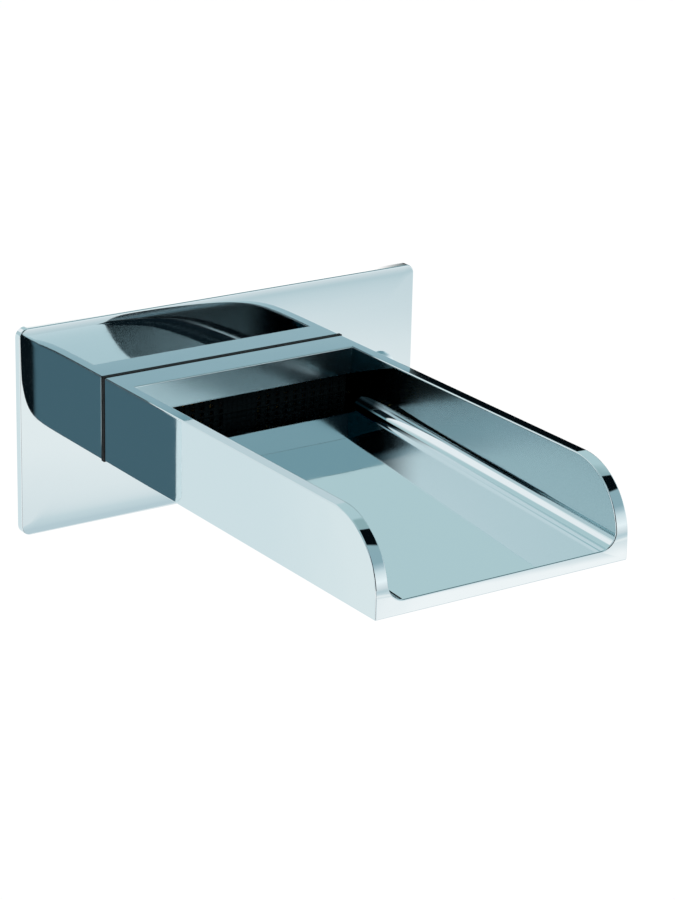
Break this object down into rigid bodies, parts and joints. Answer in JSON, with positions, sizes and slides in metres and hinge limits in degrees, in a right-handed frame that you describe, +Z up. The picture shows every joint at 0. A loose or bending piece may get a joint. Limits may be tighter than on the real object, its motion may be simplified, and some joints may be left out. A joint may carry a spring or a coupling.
{
  "type": "waterfall bath spout",
  "caption": "Wall-mounted waterfall bath spout: an open trough fed by a wide slot, on a rectangular wall plate, with a threaded inlet tail.",
  "frame": {"origin": "on the wall's surface and the inlet's axis, at the middle of the wall plate's back", "axes": "+X to the right seen from the room, +Y into the wall along the inlet, +Z up; the trough runs towards -Y"},
  "size_m": [0.165, 0.207, 0.0756],
  "materials": {
    "chrome": "polished",
    "brass": "machined",
    "steel": "plain",
    "rubber": "matt",
    "foam": "open foam",
    "nylon": "moulded",
    "acetal": "moulded"
  },
  "bodies": {
    "root": {"spout_body": "chrome", "underside_cover": "chrome", "wall_plate": "chrome", "screw_cap": "chrome", "rear_cover": "brass", "inlet_tail": "brass", "tail_nut": "brass", "strainer_mesh": "steel", "assembly_screws": "steel", "plate_screw": "steel", "joint_gasket": "rubber", "cover_gasket": "rubber", "tail_o_ring": "rubber", "strainer_ring": "rubber", "plate_seal": "foam", "wall_plug": "nylon", "cap_base": "nylon", "flow_frame": "acetal", "diffuser_plate": "acetal", "mesh_screen": "acetal"}
  },
  "joints": []
}
